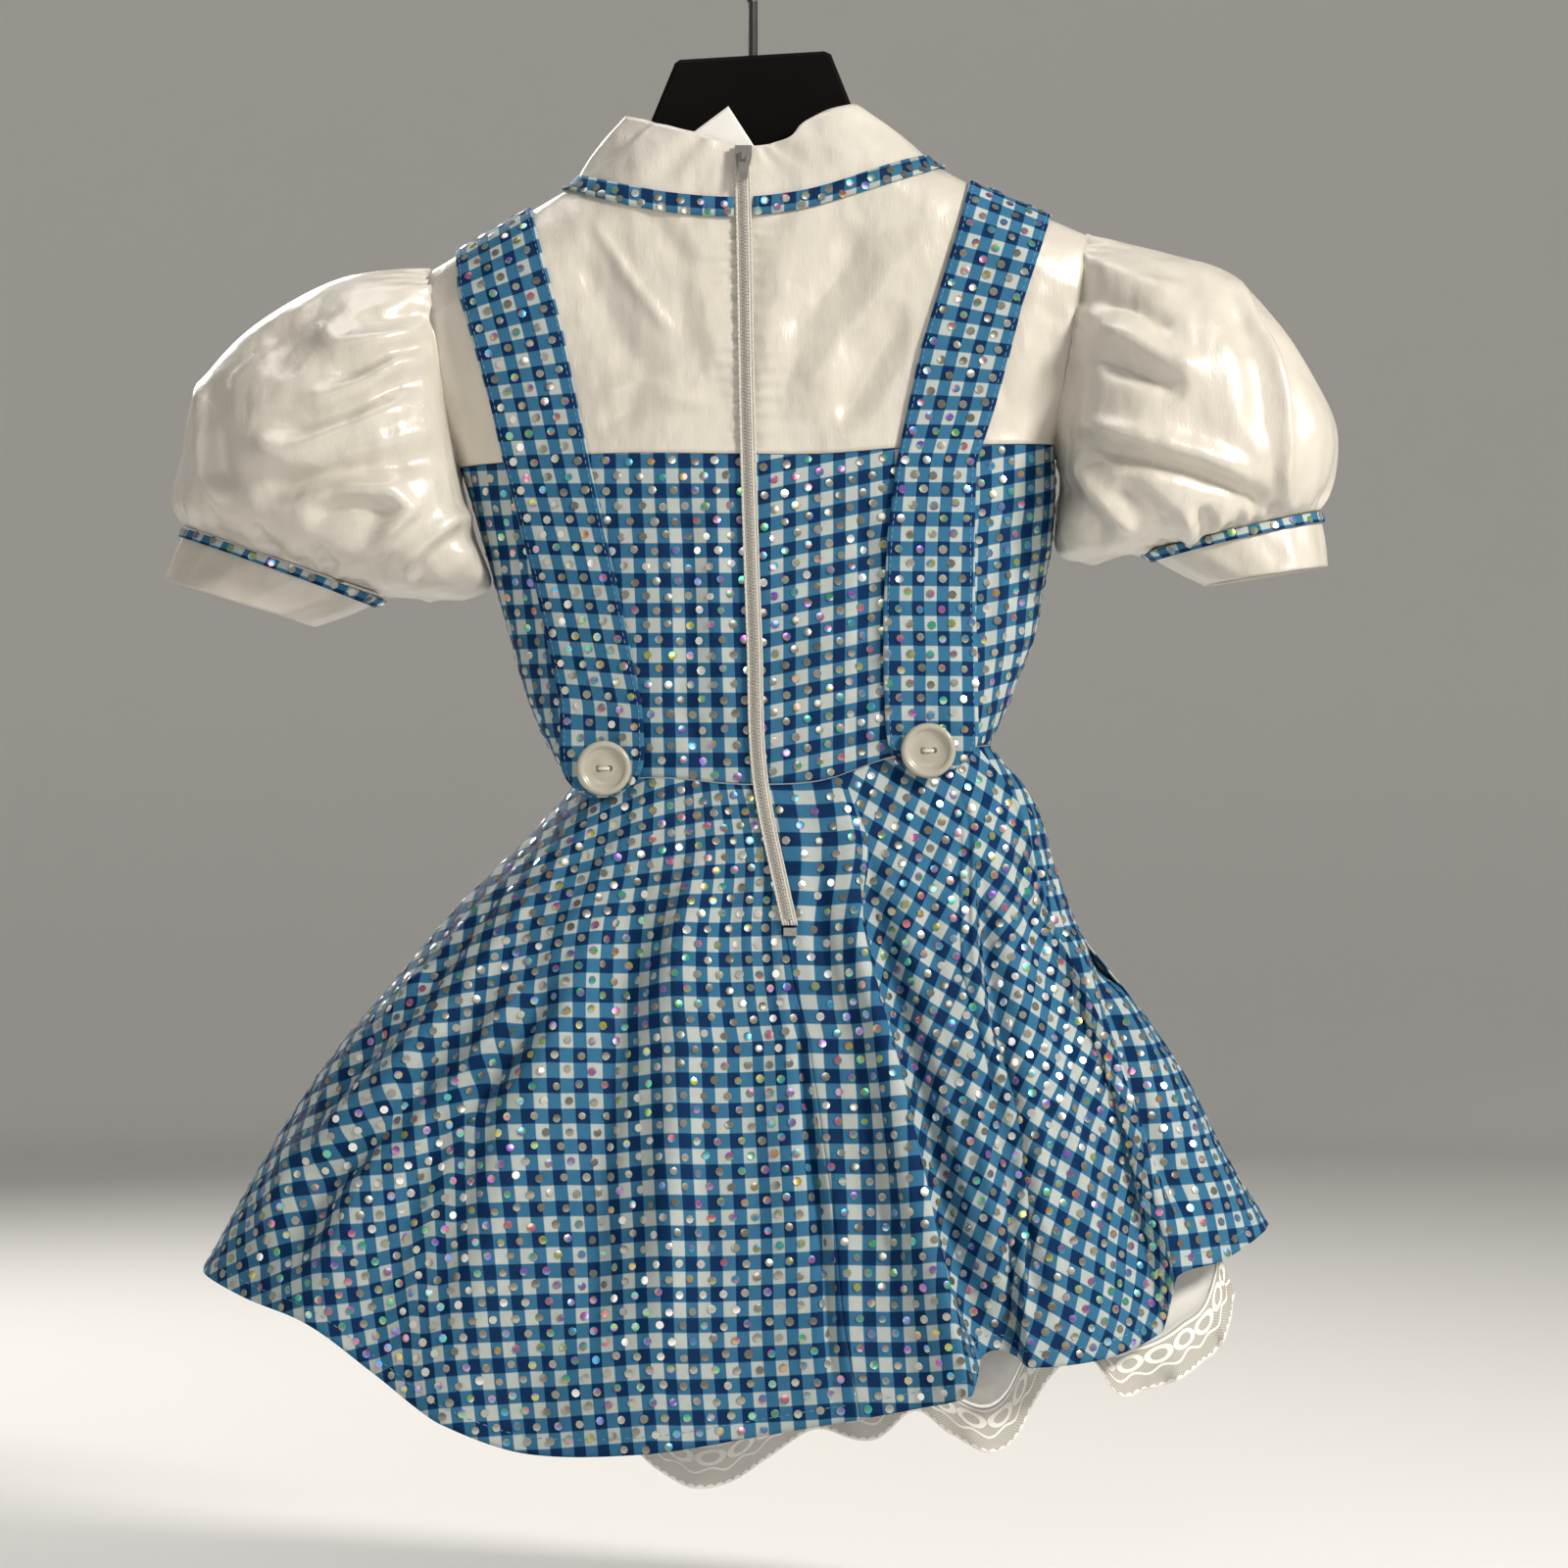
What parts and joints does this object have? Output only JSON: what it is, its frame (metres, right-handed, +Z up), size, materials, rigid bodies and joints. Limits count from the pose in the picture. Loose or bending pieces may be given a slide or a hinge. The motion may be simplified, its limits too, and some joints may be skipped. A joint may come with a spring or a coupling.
{
  "type": "costume dress on hanger",
  "caption": "Child's costume dress with puff sleeves, satin blouse, gingham pinafore with buttoned straps, back zip and lace-edged underskirt, hanging on a black hanger.",
  "frame": {"origin": "inner top of the hanger's hook, where a rod carries it", "axes": "+Z up, -Y towards whoever looks at the dress's back, +Y towards the wearer's front, -X the wearer's left"},
  "size_m": [0.5383, 0.1922, 0.7279],
  "materials": {
    "satin": "white satin with a soft sheen",
    "gingham": "blue and white gingham with flat sequins",
    "net": "plain white net",
    "lace": "white lace of corded ovals on net",
    "button": "off-white, slightly glossy",
    "zip_tape": "white woven tape and nylon coil",
    "zip_metal": "white enamelled metal",
    "hanger": "black, matt",
    "hook": "black coated steel wire"
  },
  "bodies": {
    "dress": {"blouse_back_left": "satin", "blouse_back_right": "satin", "blouse_front": "satin", "bodice_back_left": "gingham", "bodice_back_right": "gingham", "bodice_front": "gingham", "skirt_back_left": "gingham", "skirt_back_right": "gingham", "skirt_front": "gingham", "petticoat_back": "net", "petticoat_front": "net", "lace_back": "lace", "lace_front": "lace", "sleeve_left": "satin", "sleeve_right": "satin", "cuff_left": "satin", "cuff_right": "satin", "cuff_trim_left": "gingham", "cuff_trim_right": "gingham", "collar_left": "satin", "collar_right": "satin", "collar_trim_left": "gingham", "collar_trim_right": "gingham", "strap_left": "gingham", "strap_right": "gingham", "button_left": "button", "button_right": "button", "zip_tape_left": "zip_tape", "zip_tape_right": "zip_tape", "zip_slider": "zip_metal", "zip_bottom_stop": "zip_metal", "neck_label": "satin", "hanger_body": "hanger", "hanger_hook": "hook"},
    "pull_tab": {"zip_pull_tab": "zip_metal"}
  },
  "joints": [
    {"name": "tab_hinge", "type": "hinge", "parent": "dress", "child": "pull_tab", "pos_m": [-0.004, -0.02945, -0.12417], "axis": [-1, 0, 0], "range_deg": [0, 150]}
  ]
}
